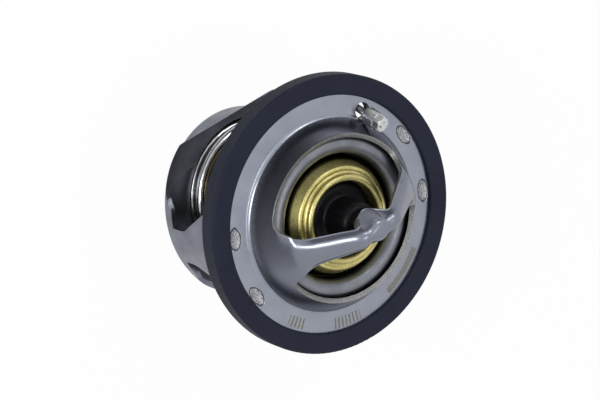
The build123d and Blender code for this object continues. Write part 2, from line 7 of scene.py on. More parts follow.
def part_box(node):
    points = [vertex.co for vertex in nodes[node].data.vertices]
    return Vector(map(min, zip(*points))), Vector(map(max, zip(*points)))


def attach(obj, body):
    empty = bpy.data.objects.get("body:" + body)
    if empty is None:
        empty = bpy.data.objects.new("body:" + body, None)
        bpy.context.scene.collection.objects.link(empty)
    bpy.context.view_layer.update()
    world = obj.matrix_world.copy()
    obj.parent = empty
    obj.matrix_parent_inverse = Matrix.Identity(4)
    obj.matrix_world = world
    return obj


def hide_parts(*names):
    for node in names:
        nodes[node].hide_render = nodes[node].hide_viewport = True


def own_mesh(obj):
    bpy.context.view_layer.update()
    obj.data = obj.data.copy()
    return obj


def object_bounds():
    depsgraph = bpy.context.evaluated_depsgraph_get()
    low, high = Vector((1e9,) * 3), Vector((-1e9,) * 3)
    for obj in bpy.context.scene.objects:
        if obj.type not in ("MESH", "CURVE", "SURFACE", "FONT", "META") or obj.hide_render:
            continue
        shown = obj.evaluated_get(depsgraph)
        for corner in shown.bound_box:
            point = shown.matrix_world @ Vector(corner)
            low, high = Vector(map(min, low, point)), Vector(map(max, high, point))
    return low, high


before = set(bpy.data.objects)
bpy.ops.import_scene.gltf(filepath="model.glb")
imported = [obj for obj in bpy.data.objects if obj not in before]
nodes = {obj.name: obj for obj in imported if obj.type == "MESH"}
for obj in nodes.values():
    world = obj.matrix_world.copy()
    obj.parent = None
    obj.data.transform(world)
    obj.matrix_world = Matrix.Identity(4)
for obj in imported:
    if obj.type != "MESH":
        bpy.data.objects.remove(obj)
cad_low, cad_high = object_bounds()


# Upper frame: flange, dome and bridge pressed from one stainless sheet, with two pierced windows.
# The bridge's edges are turned down, and the piston's socket is drawn down from its middle.
# The stirrup is spot-welded to it through the flange, which leaves four oval dents.
FLANGE_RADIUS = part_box("upper_frame")[1].x
BRIDGE_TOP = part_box("upper_frame")[1].z
FRAME_SHEET = 0.0011
WALL_FOOT = 0.0209
KNEE_RADIUS, KNEE_HEIGHT = 0.01584, 0.00904
SHOULDER_RADIUS = 0.0049
FOOT_ROUND, KNEE_ROUND, SHOULDER_ROUND = 0.001, 0.003, 0.004
WINDOW_ARC = 0.0181
TURN_STEPS = 320
FLAT_RINGS, FLAT_RING_WIDTH = 19, 0.0003
WALL_RING_SHARES = (0.3, 0.6, 0.8, 0.9, 0.96, 1.0)
ARC_GAP = 0.0001
BURR_ROUND, BURR_ANGLE = 0.00012, math.radians(48)
SMOOTH_ANGLE = math.radians(40)
MERGE_DISTANCE, SEAM_DISTANCE = 1e-6, 5e-6


def node(tree, kind, inputs=(), **settings):
    """Adds a shader node; inputs are plain values or the sockets that feed it."""
    made = tree.nodes.new("ShaderNode" + kind)
    for key, value in settings.items():
        setattr(made, key, value)
    for key, value in dict(inputs).items():
        if isinstance(value, bpy.types.NodeSocket):
            tree.links.new(value, made.inputs[key])
        else:
            made.inputs[key].default_value = value
    return made


def maths(tree, operation, *values):
    """Result of a Math node on plain values or sockets."""
    return node(tree, "Math", dict(enumerate(values)), operation=operation).outputs[0]


def shader_group(name, inputs, outputs):
    """Node group with a Vector input and those float inputs and outputs; returns it with its two ends."""
    group = bpy.data.node_groups.new(name, "ShaderNodeTree")
    group.interface.new_socket("Vector", in_out="INPUT", socket_type="NodeSocketVector")
    for in_out, titles in (("INPUT", inputs), ("OUTPUT", outputs)):
        for title in titles:
            group.interface.new_socket(title, in_out=in_out, socket_type="NodeSocketFloat")
    return group, group.nodes.new("NodeGroupInput"), group.nodes.new("NodeGroupOutput")


# Sheet grain: clouds of tone, fine rolling lines along X and small pits, as on pressed stainless sheet.
LINE_SCALE, LINE_STRETCH = 5200.0, (0.05, 1.0, 0.6)
PIT_SCALE = 4200.0
sheet_grain, ends_in, ends_out = shader_group("sheet_grain", ["Cloud Scale"], ["Tone", "Lines", "Height"])
cloud = node(sheet_grain, "TexNoise", {
    "Vector": ends_in.outputs["Vector"], "Scale": ends_in.outputs["Cloud Scale"], "Detail": 4.0})
stretched = node(sheet_grain, "Mapping", {"Vector": ends_in.outputs["Vector"], "Scale": LINE_STRETCH})
lines = node(sheet_grain, "TexNoise", {"Vector": stretched.outputs[0], "Scale": LINE_SCALE, "Detail": 2.0})
pits = node(sheet_grain, "TexNoise", {
    "Vector": ends_in.outputs["Vector"], "Scale": PIT_SCALE, "Detail": 3.0, "Roughness": 0.7})
pressed = maths(sheet_grain, "ADD", pits.outputs[0], lines.outputs[0])
sheet_grain.links.new(cloud.outputs[0], ends_out.inputs["Tone"])
sheet_grain.links.new(lines.outputs[0], ends_out.inputs["Lines"])
sheet_grain.links.new(pressed, ends_out.inputs["Height"])


def new_material(name):
    """Empty material with its Principled shader and Object coordinates."""
    made = bpy.data.materials.new(name)
    made.use_nodes = True
    tree = made.node_tree
    tree.nodes.clear()
    output = tree.nodes.new("ShaderNodeOutputMaterial")
    shader = tree.nodes.new("ShaderNodeBsdfPrincipled")
    tree.links.new(shader.outputs[0], output.inputs["Surface"])
    place = tree.nodes.new("ShaderNodeTexCoord").outputs["Object"]
    return made, tree, shader, place


def use_group(tree, group, inputs):
    """Places a node group in a material."""
    return node(tree, "Group", inputs, node_tree=group)


NOISE_SPAN = (0.3, 0.7)  # where most of a noise's values lie


def two_tones(tree, mask, low, high, low_colour, high_colour):
    """Colour that runs from one tone to the other as a mask goes from low to high."""
    ramp = node(tree, "ValToRGB", {"Fac": mask})
    ramp.color_ramp.elements[0].position = low
    ramp.color_ramp.elements[0].color = (*low_colour, 1)
    ramp.color_ramp.elements[1].position = high
    ramp.color_ramp.elements[1].color = (*high_colour, 1)
    return ramp.outputs["Color"]


def scaled(tree, mask, low, high, to_low, to_high):
    """A mask's stretch from low to high, mapped to other numbers."""
    return node(tree, "MapRange", {
        "Value": mask, "From Min": low, "From Max": high, "To Min": to_low, "To Max": to_high}).outputs[0]


def mixed_colour(tree, mask, under, over):
    """One colour laid over another where a mask is 1; each is a colour or a socket."""
    # A colour Mix takes its factor at socket 0 and the colours at 6 and 7, and gives the result at 2.
    return node(tree, "Mix", {0: mask, 6: under, 7: over}, data_type="RGBA").outputs[2]


def bumped(tree, shader, height_socket, strength, distance):
    """Feeds a height to the shader's normal."""
    bump = node(tree, "Bump", {"Height": height_socket, "Strength": strength, "Distance": distance})
    tree.links.new(bump.outputs[0], shader.inputs["Normal"])


def mottled_finish(name, scale, detail, dark, light, rough=None, bump=None, metallic=0.0, specular=None,
                   span=NOISE_SPAN, noise_roughness=0.5):
    """Material whose tone, and if given its roughness and bump, follow one noise."""
    finish, tree, shader, place = new_material(name)
    mottle = node(tree, "TexNoise", {
        "Vector": place, "Scale": scale, "Detail": detail, "Roughness": noise_roughness}).outputs[0]
    tree.links.new(two_tones(tree, mottle, *span, dark, light), shader.inputs["Base Color"])
    shader.inputs["Metallic"].default_value = metallic
    if rough:
        tree.links.new(scaled(tree, mottle, *NOISE_SPAN, *rough), shader.inputs["Roughness"])
    if specular is not None:
        shader.inputs["Specular IOR Level"].default_value = specular
    if bump:
        bumped(tree, shader, mottle, *bump)
    return finish


# Weld mark: rough oval with a dark rim where an electrode pressed the flange. One corner is folded to four.
WELD_CIRCLE = 0.0241
WELD_ANGLE = math.radians(16.6)
WELD_LENGTH = 0.0052
WELD_WIDTH = 0.0028
WELD_WOBBLE = 0.3
WELD_RIM_REACH = 1.06
weld_marks, ends_in, ends_out = shader_group("weld_marks", [], ["Inside", "Rim"])
folded = node(weld_marks, "VectorMath", {0: ends_in.outputs["Vector"]}, operation="ABSOLUTE")
oval = node(weld_marks, "Mapping", {
    "Vector": folded.outputs[0], "Rotation": (0, 0, WELD_ANGLE),
    "Location": (WELD_CIRCLE * math.cos(WELD_ANGLE), WELD_CIRCLE * math.sin(WELD_ANGLE), 0),
    "Scale": (WELD_WIDTH / 2, WELD_LENGTH / 2, 1)}, vector_type="TEXTURE")
wobble = node(weld_marks, "TexNoise", {"Vector": ends_in.outputs["Vector"], "Scale": 900.0, "Detail": 3.0})
length = node(weld_marks, "VectorMath", {0: oval.outputs[0]}, operation="LENGTH").outputs["Value"]
reach = maths(weld_marks, "MULTIPLY_ADD", wobble.outputs[0], WELD_WOBBLE, length)
weld_marks.links.new(scaled(weld_marks, reach, 0.95, 1.05, 1.0, 0.0), ends_out.inputs["Inside"])
off_rim = maths(weld_marks, "ABSOLUTE", maths(weld_marks, "SUBTRACT", reach, WELD_RIM_REACH))
weld_marks.links.new(scaled(weld_marks, off_rim, 0.03, 0.12, 1.0, 0.0), ends_out.inputs["Rim"])

# Laser bars: an arc of plain bars burnt in round the axis.
LASER_CIRCLE = 0.0239
laser_bars, ends_in, ends_out = shader_group(
    "laser_bars", ["Middle", "Half Angle", "Half Height", "Bars", "Bar Edge"], ["Mask"])
split = node(laser_bars, "SeparateXYZ", {0: ends_in.outputs["Vector"]})
flat = node(laser_bars, "CombineXYZ", {0: split.outputs[0], 1: split.outputs[1]})
radius = node(laser_bars, "VectorMath", {0: flat.outputs[0]}, operation="LENGTH").outputs["Value"]
angle = maths(laser_bars, "ARCTAN2", split.outputs[1], split.outputs[0])
off_angle = maths(laser_bars, "ABSOLUTE", maths(laser_bars, "SUBTRACT", angle, ends_in.outputs["Middle"]))
off_radius = maths(laser_bars, "ABSOLUTE", maths(laser_bars, "SUBTRACT", radius, LASER_CIRCLE))
in_angle = maths(laser_bars, "LESS_THAN", off_angle, ends_in.outputs["Half Angle"])
in_radius = maths(laser_bars, "LESS_THAN", off_radius, ends_in.outputs["Half Height"])
in_patch = maths(laser_bars, "MULTIPLY", in_angle, in_radius)
wave = maths(laser_bars, "SINE", maths(laser_bars, "MULTIPLY", angle, ends_in.outputs["Bars"]))
on_bar = maths(laser_bars, "GREATER_THAN", wave, ends_in.outputs["Bar Edge"])
laser_bars.links.new(maths(laser_bars, "MULTIPLY", in_patch, on_bar), ends_out.inputs["Mask"])

# Each patch of bars: its middle and half angle in degrees, half height, and the bars' frequency and edge.
LASER_PATCHES = (
    (119.5, 13.5, 0.0007, 700.0, -0.5),
    (78, 8, 0.0012, 160.0, 0.35),
    (46, 5, 0.0012, 160.0, 0.35),
)
BURN_SHARE = 0.9
BURNT_DARK, BURNT_LIGHT = (0.07, 0.067, 0.036), (0.24, 0.23, 0.14)
# Painted shade on the drawn wall, eased on the bridge, and what the die did to the drawn metal's roughness:
# the heights between which each comes in, and how much it adds.
WALL_SHADE = (0.0003, 0.002, 0.0, 0.9)
BRIDGE_SHADE = (0.0075, 0.0105, 0.0, -0.25)
WALL_POLISH = (0.0002, 0.0015, 0.0, -0.07)
BRIDGE_SATIN = (0.008, 0.012, 0.0, 0.09)
WALL_SHADE_TONE = (0.17, 0.182, 0.222, 1)
SHEET_DARK, SHEET_LIGHT = (0.245, 0.262, 0.312), (0.29, 0.305, 0.355)
SPATTER_DARK, SPATTER_LIGHT = (0.17, 0.175, 0.19), (0.42, 0.42, 0.43)
WELD_RIM_TONE = (0.05, 0.05, 0.055, 1)
WELD_ROUGHER = 0.15

# Bare stainless: grey with a blue cast, matt on the flange and smoother where the die drew it; painted shade
# darkens the drawn wall, a little less on the bridge.
frame_steel, tree, shader, place = new_material("frame_steel_finish")
grain = use_group(tree, sheet_grain, {"Vector": place, "Cloud Scale": 220.0})
weld = use_group(tree, weld_marks, {"Vector": place})
height = node(tree, "SeparateXYZ", {0: place}).outputs["Z"]
speckle = node(tree, "TexNoise", {"Vector": place, "Scale": 3800.0, "Detail": 2.0}).outputs[0]
tone = two_tones(tree, grain.outputs["Tone"], 0.3, 0.75, SHEET_DARK, SHEET_LIGHT)
spatter = two_tones(tree, speckle, 0.42, 0.6, SPATTER_DARK, SPATTER_LIGHT)
burnt = two_tones(tree, speckle, 0.4, 0.65, BURNT_DARK, BURNT_LIGHT)
tone = mixed_colour(tree, weld.outputs["Inside"], tone, spatter)
tone = mixed_colour(tree, weld.outputs["Rim"], tone, WELD_RIM_TONE)
on_face = scaled(tree, height, -0.0001, -0.00005, 0.0, 1.0)
for middle, half_angle, half_height, frequency, bar_edge in LASER_PATCHES:
    bars = use_group(tree, laser_bars, {
        "Vector": place, "Middle": math.radians(middle), "Half Angle": math.radians(half_angle),
        "Half Height": half_height, "Bars": frequency, "Bar Edge": bar_edge})
    burn = maths(tree, "MULTIPLY", maths(tree, "MULTIPLY", bars.outputs["Mask"], on_face), BURN_SHARE)
    tone = mixed_colour(tree, burn, tone, burnt)
# Painted shade: above the flange the tone is mixed far towards a dark one, a little less on the bridge.
shade = maths(tree, "ADD", scaled(tree, height, *WALL_SHADE), scaled(tree, height, *BRIDGE_SHADE))
tone = mixed_colour(tree, shade, tone, WALL_SHADE_TONE)
drawn = maths(tree, "ADD", scaled(tree, height, *WALL_POLISH), scaled(tree, height, *BRIDGE_SATIN))
rough = maths(tree, "ADD", scaled(tree, grain.outputs["Lines"], *NOISE_SPAN, 0.27, 0.33), drawn)
rough = maths(tree, "MULTIPLY_ADD", weld.outputs["Inside"], WELD_ROUGHER, rough)
tree.links.new(tone, shader.inputs["Base Color"])
tree.links.new(rough, shader.inputs["Roughness"])
shader.inputs["Metallic"].default_value = 1.0
bumped(tree, shader, grain.outputs["Height"], 0.02, 0.00004)

# Punched edge of the sheet: torn, granular steel.
cut_steel = mottled_finish(
    "cut_edge_finish", scale=3600.0, detail=4.0, dark=(0.13, 0.132, 0.136), light=(0.31, 0.31, 0.31),
    rough=(0.45, 0.65), bump=(0.5, 0.00012), metallic=1.0, span=(0.36, 0.62), noise_roughness=0.7)


def rounded(corners, steps):
    """Line through (x, z, radius) corners, each with a radius made an arc."""
    line = []
    for i, (x, z, radius) in enumerate(corners):
        if radius == 0:
            line.append((x, z))
            continue
        here = Vector((x, z))
        before = (Vector(corners[i - 1][:2]) - here).normalized()
        after = (Vector(corners[i + 1][:2]) - here).normalized()
        half = before.angle(after) / 2
        centre = here + (before + after).normalized() * radius / math.sin(half)
        start = here + before * radius / math.tan(half) - centre
        end = here + after * radius / math.tan(half) - centre
        turn = math.atan2(start.x * end.y - start.y * end.x, start.dot(end))
        for k in range(steps + 1):
            point = centre + Matrix.Rotation(turn * k / steps, 2) @ start
            line.append((point.x, point.y))
    return line


def lathe(name, line, steps):
    """Skin of revolution: a circle at the line's first point, extruded and scaled to each next one."""
    bpy.ops.object.select_all(action="DESELECT")
    radius, height = line[0]
    bpy.ops.mesh.primitive_circle_add(vertices=steps, radius=radius, location=(0, 0, height))
    piece = bpy.context.object
    piece.name = name
    bpy.ops.object.transform_apply(location=True, rotation=True, scale=True)
    bpy.ops.object.mode_set(mode="EDIT")
    bpy.ops.mesh.select_all(action="SELECT")
    for next_radius, next_height in line[1:]:
        bpy.ops.mesh.extrude_edges_move(
            TRANSFORM_OT_translate={"value": (0, 0, next_height - height)})
        if next_radius == 0:
            bpy.ops.mesh.merge(type="CENTER")
            break
        share = next_radius / radius
        bpy.ops.transform.resize(value=(share, share, 1), center_override=(0, 0, 0))
        radius, height = next_radius, next_height
    bpy.ops.mesh.select_all(action="SELECT")
    bpy.ops.mesh.remove_doubles(threshold=MERGE_DISTANCE)
    bpy.ops.mesh.normals_make_consistent(inside=False)
    bpy.ops.object.mode_set(mode="OBJECT")
    bpy.ops.object.shade_smooth_by_angle(angle=SMOOTH_ANGLE)
    return piece


def select_only(*pieces):
    """Selects those pieces and nothing else, the first one active."""
    bpy.ops.object.select_all(action="DESELECT")
    for piece in pieces:
        piece.select_set(True)
    bpy.context.view_layer.objects.active = pieces[0]


def give_finishes(piece, *finishes):
    """Sets a new piece's materials, in that order."""
    piece.data.materials.clear()
    for finish in finishes:
        piece.data.materials.append(finish)


def apply_modifier(piece, kind, **settings):
    """Adds one modifier to a piece and applies it."""
    select_only(piece)
    made = piece.modifiers.new(kind.title(), kind)
    for key, value in settings.items():
        setattr(made, key, value)
    bpy.ops.object.modifier_apply(modifier=made.name)


dome_line = rounded([
    (FLANGE_RADIUS, 0, 0),
    (WALL_FOOT, 0, FOOT_ROUND),
    (KNEE_RADIUS, KNEE_HEIGHT, KNEE_ROUND),
    (SHOULDER_RADIUS, BRIDGE_TOP, SHOULDER_ROUND),
    (0, BRIDGE_TOP, 0),
], steps=16)


def dome_height(radius):
    """Height of the pressed dome at a distance from the axis."""
    for (outer, low), (inner, high) in zip(dome_line, dome_line[1:]):
        if inner <= radius <= outer:
            return low + (high - low) * (outer - radius) / max(outer - inner, 1e-9)
    return BRIDGE_TOP if radius < FLANGE_RADIUS else 0.0


# The flange and the wall up to the windows' outer arc are turned. The flat is divided for the dents, and the
# wall gets closer rings towards the windows, where its punched edge would bend the shading of a long face.
wall_line = [(FLANGE_RADIUS - k * FLAT_RING_WIDTH, 0) for k in range(FLAT_RINGS)]
wall_line += [point for point in dome_line[1:] if point[0] > WINDOW_ARC + ARC_GAP]
foot_end = wall_line[-1][0]
for share in WALL_RING_SHARES:
    radius = foot_end + (WINDOW_ARC - foot_end) * share
    wall_line.append((radius, dome_height(radius)))
upper = lathe("upper_frame_pressing", wall_line, TURN_STEPS)

# The bridge is a grid laid from window arc to window arc, its last columns rolled down along both edges.
# From each arc come rows that flare along the windows' corners, and then the straight strap's rows.
FLARE_ROWS, STRAP_ROWS = 24, 56
STRAP_COLUMNS = 48
CROWN_COLUMNS, ROLL_COLUMNS, FLANK_COLUMNS = 6, 8, 6
STRAP_END_ANGLE = math.radians(27)
FLARE_CENTRE = (0.0115, 0.0077)
FLARE_RADIUS = 0.0046
STRAP_HALF = 0.0027
STRAP_DROP = 0.0016
STRAP_ROLL = 0.0018
STRAP_TURN = math.radians(52)
STRAP_FLARE = 0.0009
STRAP_FLARE_TURN = math.radians(26)
STRAP_WAIST = 0.0003
STRAP_WAIST_X = 0.0046
STRAP_WAIST_SPREAD = 0.002
ROLL_LAG = 0.15
NOSE_RADIUS = 0.004
NOSE_SPREAD = 0.0022
NOSE_LOW = 0.01375
NOSE_DROP_SPREAD = 0.003
NOSE_TURN = math.radians(70)
bpy.ops.object.select_all(action="DESELECT")
rows = 2 * (FLARE_ROWS + STRAP_ROWS)
bpy.ops.mesh.primitive_grid_add(x_subdivisions=rows, y_subdivisions=STRAP_COLUMNS, size=2)
strap = bpy.context.object
end_x = WINDOW_ARC * math.cos(STRAP_END_ANGLE)
end_y = WINDOW_ARC * math.sin(STRAP_END_ANGLE)
flare_columns = STRAP_COLUMNS // 2 - CROWN_COLUMNS - ROLL_COLUMNS - FLANK_COLUMNS


def strap_section(column, half_width, total_drop, lean):
    """Sideways place and drop of a column: crown, rolled shoulder, leaning flank and flared edge."""
    roll_drop = STRAP_ROLL * (1 - math.cos(lean))
    flare_drop = STRAP_FLARE * (math.cos(STRAP_FLARE_TURN) - math.cos(lean))
    flare_run = STRAP_FLARE * (math.sin(lean) - math.sin(STRAP_FLARE_TURN))
    flank = (total_drop - roll_drop - flare_drop) / math.sin(lean)
    crown = half_width - STRAP_ROLL * math.sin(lean) - flank * math.cos(lean) - flare_run
    if column <= CROWN_COLUMNS:
        return crown * column / CROWN_COLUMNS, 0.0
    column -= CROWN_COLUMNS
    if column <= ROLL_COLUMNS:
        turn = lean * column / ROLL_COLUMNS
        return crown + STRAP_ROLL * math.sin(turn), STRAP_ROLL * (1 - math.cos(turn))
    column -= ROLL_COLUMNS
    sideways, drop = crown + STRAP_ROLL * math.sin(lean), roll_drop
    share = min(1.0, column / FLANK_COLUMNS)
    sideways += flank * math.cos(lean) * share
    drop += flank * math.sin(lean) * share
    if column > FLANK_COLUMNS:
        turn = lean + (STRAP_FLARE_TURN - lean) * (column - FLANK_COLUMNS) / flare_columns
        sideways += STRAP_FLARE * (math.sin(lean) - math.sin(turn))
        drop += STRAP_FLARE * (math.cos(turn) - math.cos(lean))
    return sideways, drop


for vertex in strap.data.vertices:
    side_x = 1 if vertex.co.x >= 0 else -1
    side_y = 1 if vertex.co.y >= 0 else -1
    row = round((1 - abs(vertex.co.x)) * (FLARE_ROWS + STRAP_ROWS))
    column = round(abs(vertex.co.y) * STRAP_COLUMNS / 2)
    # Edge of the window beside this row, in plan, and how far the row is from the arc's end.
    if row == 0:
        edge_x, edge_y, along = end_x, end_y, 0.0
    elif row <= FLARE_ROWS:
        along = row / FLARE_ROWS
        turn = math.radians(90) * along
        edge_x = FLARE_CENTRE[0] + FLARE_RADIUS * math.cos(turn)
        edge_y = FLARE_CENTRE[1] - FLARE_RADIUS * math.sin(turn)
    else:
        along = 1.0
        edge_x = FLARE_CENTRE[0] * (1 - (row - FLARE_ROWS) / STRAP_ROWS)
        edge_y = STRAP_HALF + (FLARE_CENTRE[1] - FLARE_RADIUS - STRAP_HALF) * (
            edge_x / FLARE_CENTRE[0]) ** 4
    if row > 0:
        edge_y -= STRAP_WAIST * math.exp(-((edge_x - STRAP_WAIST_X) / STRAP_WAIST_SPREAD) ** 2)
        edge_y += (NOSE_RADIUS - STRAP_HALF) * math.exp(-(edge_x / NOSE_SPREAD) ** 2)
    nose_share = math.exp(-(edge_x / NOSE_DROP_SPREAD) ** 4)
    nose_drop = (BRIDGE_TOP - NOSE_LOW - STRAP_DROP) * nose_share
    lean = STRAP_TURN + (NOSE_TURN - STRAP_TURN) * math.sqrt(nose_share)
    # Plain column positions at the arc, which pass into the bridge's rolled section.
    angle = STRAP_END_ANGLE * column / (STRAP_COLUMNS / 2)
    plain_y = edge_y * math.sin(angle) / math.sin(STRAP_END_ANGLE)
    rolled_y, drop = strap_section(column, edge_y, STRAP_DROP + nose_drop, lean)
    blend = min(1.0, max(0.0, along * (1 + ROLL_LAG) - ROLL_LAG))
    blend = blend * blend * (3 - 2 * blend)
    y = plain_y + (rolled_y - plain_y) * blend
    bulge = math.sqrt(WINDOW_ARC ** 2 - (edge_y * min(1, abs(plain_y) / edge_y)) ** 2) - end_x
    x = edge_x + bulge * (1 - along) ** 2
    z = dome_height(min(math.hypot(x, min(y, edge_y)), WINDOW_ARC)) - drop * blend
    vertex.co = Vector((side_x * x, side_y * y, z))

for piece in (upper, strap):
    give_finishes(piece, frame_steel, cut_steel)
select_only(upper, strap)
bpy.ops.object.join()
bpy.ops.object.mode_set(mode="EDIT")
bpy.ops.mesh.select_all(action="SELECT")
bpy.ops.mesh.remove_doubles(threshold=SEAM_DISTANCE)
bpy.ops.mesh.normals_make_consistent(inside=False)
bpy.ops.object.mode_set(mode="OBJECT")
if sum(face.normal.z * face.area for face in upper.data.polygons) < 0:
    bpy.ops.object.mode_set(mode="EDIT")
    bpy.ops.mesh.flip_normals()
    bpy.ops.object.mode_set(mode="OBJECT")
apply_modifier(upper, "SOLIDIFY", thickness=FRAME_SHEET, offset=-1, use_even_offset=False,
               material_offset_rim=1)
apply_modifier(upper, "BEVEL", width=BURR_ROUND, segments=2, limit_method="ANGLE", angle_limit=BURR_ANGLE)

# The socket under the bridge: a drawn cup that flares to its rim inside the folded-down nose, and the
# plug in it with the piston's bore. Each corner is a radius, a height and how far it is rounded.
SOCKET_LOW = 0.0126
SOCKET_BORE = 0.00205
SOCKET_PLUG = 0.0031
SOCKET_DEPTH = 0.004
SOCKET_NECK = 0.0024
SOCKET_INSET = 0.0001
socket_end = BRIDGE_TOP - FRAME_SHEET * 0.5
socket = lathe("socket", rounded([
    (SOCKET_BORE, SOCKET_LOW + SOCKET_DEPTH, 0),
    (SOCKET_BORE, SOCKET_LOW, 0.0002),
    (SOCKET_PLUG, SOCKET_LOW, 0.0005),
    (SOCKET_PLUG, NOSE_LOW - SOCKET_INSET, 0.0001),
    (NOSE_RADIUS - SOCKET_INSET, NOSE_LOW - SOCKET_INSET, 0.00025),
    (SOCKET_NECK, BRIDGE_TOP - FRAME_SHEET * 0.8, 0.0003),
    (SOCKET_BORE * 0.5, socket_end, 0),
    (0, socket_end, 0),
], steps=8), steps=96)
give_finishes(socket, frame_steel, cut_steel)

# The vent pin's hole and the four weld dents are cut with shaped cutters.
PIN_CIRCLE = 0.0229
PIN_ANGLE = math.radians(-132.8)
PIN_HOLE = 0.00182
PIN_CUTTER_DEPTH = 0.006
WELD_CUTTER = (0.0017, 0.0032, 0.0006)
WELD_LIFT = 0.00035
pin_spot = Vector((PIN_CIRCLE * math.cos(PIN_ANGLE), PIN_CIRCLE * math.sin(PIN_ANGLE), 0))
bpy.ops.object.select_all(action="DESELECT")
bpy.ops.mesh.primitive_cylinder_add(vertices=64, radius=PIN_HOLE, depth=PIN_CUTTER_DEPTH, location=pin_spot)
cutters = [bpy.context.object]
for side in (0, math.pi):
    for turn in (-WELD_ANGLE, WELD_ANGLE):
        weld_spot = Matrix.Rotation(side + turn, 3, "Z") @ Vector((WELD_CIRCLE, 0, WELD_LIFT))
        bpy.ops.mesh.primitive_uv_sphere_add(segments=48, ring_count=24, radius=1, location=weld_spot,
                                             rotation=(0, 0, side + turn), scale=WELD_CUTTER)
        cutters.append(bpy.context.object)
for cutter in cutters:
    apply_modifier(upper, "BOOLEAN", object=cutter, operation="DIFFERENCE", solver="EXACT")
    bpy.data.objects.remove(cutter)

select_only(upper, socket)
bpy.ops.object.join()
bpy.ops.object.shade_smooth_by_angle(angle=SMOOTH_ANGLE)
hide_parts("upper_frame")
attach(upper, "frame")


# Seat ring: a second pressing of stainless sheet, its inner edge rolled to a bead for the valve.
# It is clamped behind the flange by the welded stirrup, and the valve plate closes on its lip.
SHADE_LOW, SHADE_HIGH = 0.0014, 0.0021


def dress(name, finish):
    """Gives a carried-over CAD node its finish."""
    for slot in nodes[name].material_slots:
        slot.material = finish


def shaded_low(tree, place, tone, shade_high, shade_tone):
    """Tone that falls to a dark one low inside the dome: painted shade where little light comes in."""
    height = node(tree, "SeparateXYZ", {0: place}).outputs["Z"]
    return mixed_colour(tree, scaled(tree, height, SHADE_LOW, shade_high, 1.0, 0.0), tone, shade_tone)


def sheet_finish(name, cloud_scale, dark, light, rough, bump, shade_tone=None):
    """Pressed stainless sheet with the shared grain; a given shade tone paints shade on it low inside the
    dome.
    """
    finish, tree, shader, place = new_material(name)
    grain = use_group(tree, sheet_grain, {"Vector": place, "Cloud Scale": cloud_scale})
    tone = two_tones(tree, grain.outputs["Tone"], 0.35, 0.68, dark, light)
    if shade_tone:
        tone = shaded_low(tree, place, tone, SHADE_HIGH, shade_tone)
    tree.links.new(tone, shader.inputs["Base Color"])
    tree.links.new(scaled(tree, grain.outputs["Lines"], *NOISE_SPAN, *rough), shader.inputs["Roughness"])
    shader.inputs["Metallic"].default_value = 1.0
    bumped(tree, shader, grain.outputs["Height"], *bump)
    return finish


# Painted shade: the seat's tone falls to a near-black one low inside the dome.
seat_steel = sheet_finish(
    "seat_steel_finish", cloud_scale=300.0, dark=(0.15, 0.157, 0.18), light=(0.2, 0.207, 0.232),
    rough=(0.38, 0.48), bump=(0.05, 0.00004), shade_tone=(0.035, 0.033, 0.028, 1))
dress("seat_ring", seat_steel)


# Gasket: navy-black rubber ring, moulded with a groove that grips the flange's edge.
# Its skin is dull, with a faint bloom.
BLOOM_DARK, BLOOM_LIGHT = (0.0082, 0.0106, 0.0225), (0.0115, 0.0142, 0.028)
gasket_rubber, tree, shader, place = new_material("gasket_rubber_finish")
skin = node(tree, "TexNoise", {"Vector": place, "Scale": 2600.0, "Detail": 4.0, "Roughness": 0.65})
bloom = node(tree, "TexNoise", {"Vector": place, "Scale": 90.0, "Detail": 3.0})
tree.links.new(two_tones(tree, bloom.outputs[0], 0.35, 0.7, BLOOM_DARK, BLOOM_LIGHT),
               shader.inputs["Base Color"])
tree.links.new(scaled(tree, skin.outputs[0], *NOISE_SPAN, 0.5, 0.68), shader.inputs["Roughness"])
shader.inputs["Specular IOR Level"].default_value = 0.16
bumped(tree, shader, skin.outputs[0], 0.25, 0.00008)
dress("gasket", gasket_rubber)


# Stirrup: spring cup and two legs pressed from one stainless sheet, welded behind the flange.
# It is a copy of its solid whose punched edges are broken, and the broken edges get a lighter tone, a
# painted highlight along them.
EDGE_BREAK, EDGE_ANGLE = 0.00012, math.radians(50)
FLAT_ANGLE = math.radians(1)
# Painted shade: the stirrup's sheet gets a darker tone than the flange's, for the dark surroundings its cup
# and legs reflect.
stirrup_steel = sheet_finish(
    "stirrup_steel_finish", cloud_scale=260.0, dark=(0.14, 0.15, 0.185), light=(0.2, 0.212, 0.25),
    rough=(0.28, 0.36), bump=(0.03, 0.00004))
# Painted highlight: a lighter metal tone on the broken edges.
bright_edge = mottled_finish(
    "bright_edge_finish", scale=1800.0, detail=3.0, dark=(0.4, 0.41, 0.45), light=(0.6, 0.61, 0.64),
    rough=(0.3, 0.45), metallic=1.0, span=(0.35, 0.65))
stirrup = nodes["lower_frame"].copy()
stirrup.data = nodes["lower_frame"].data.copy()
stirrup.name = "lower_frame_pressing"
bpy.context.scene.collection.objects.link(stirrup)
give_finishes(stirrup, stirrup_steel, bright_edge)
select_only(stirrup)
bpy.ops.object.mode_set(mode="EDIT")
bpy.ops.mesh.select_all(action="SELECT")
bpy.ops.mesh.remove_doubles(threshold=MERGE_DISTANCE)
bpy.ops.mesh.dissolve_limited(angle_limit=FLAT_ANGLE)
bpy.ops.object.mode_set(mode="OBJECT")
apply_modifier(stirrup, "BEVEL", width=EDGE_BREAK, segments=1, limit_method="ANGLE",
               angle_limit=EDGE_ANGLE, material=1, use_clamp_overlap=True)
bpy.ops.object.shade_smooth_by_angle(angle=EDGE_ANGLE)
apply_modifier(stirrup, "WEIGHTED_NORMAL", keep_sharp=True, weight=100, mode="FACE_AREA")
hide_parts("lower_frame")
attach(stirrup, "frame")


